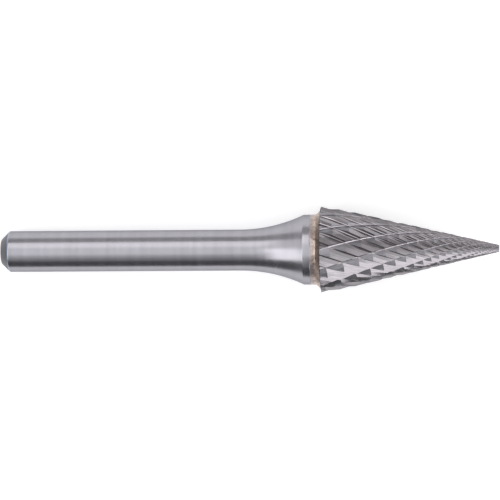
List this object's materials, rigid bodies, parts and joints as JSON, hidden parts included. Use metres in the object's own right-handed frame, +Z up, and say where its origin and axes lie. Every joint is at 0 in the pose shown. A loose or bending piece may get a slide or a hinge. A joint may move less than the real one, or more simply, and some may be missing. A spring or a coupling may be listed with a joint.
{
  "type": "rotary burr",
  "caption": "Rotary burr with a pointed cone head of double cut teeth, brazed to a round steel shank that flares to a collar.",
  "frame": {"origin": "on the surface that the burr lies on, under the middle of its box", "axes": "+X towards the tip along the lying burr, +Z up from the surface that it lies on; the tool's own axis rises 3.9 degrees towards the tip"},
  "size_m": [0.0728, 0.0124, 0.0122],
  "materials": {
    "steel": "ground and fine turned steel, bright",
    "filler": "rough tan brazing filler",
    "carbide": "ground tungsten carbide, satin grey facets"
  },
  "bodies": {
    "root": {"steel_shank": "steel", "braze_fillet": "filler", "carbide_head": "carbide"}
  },
  "joints": []
}
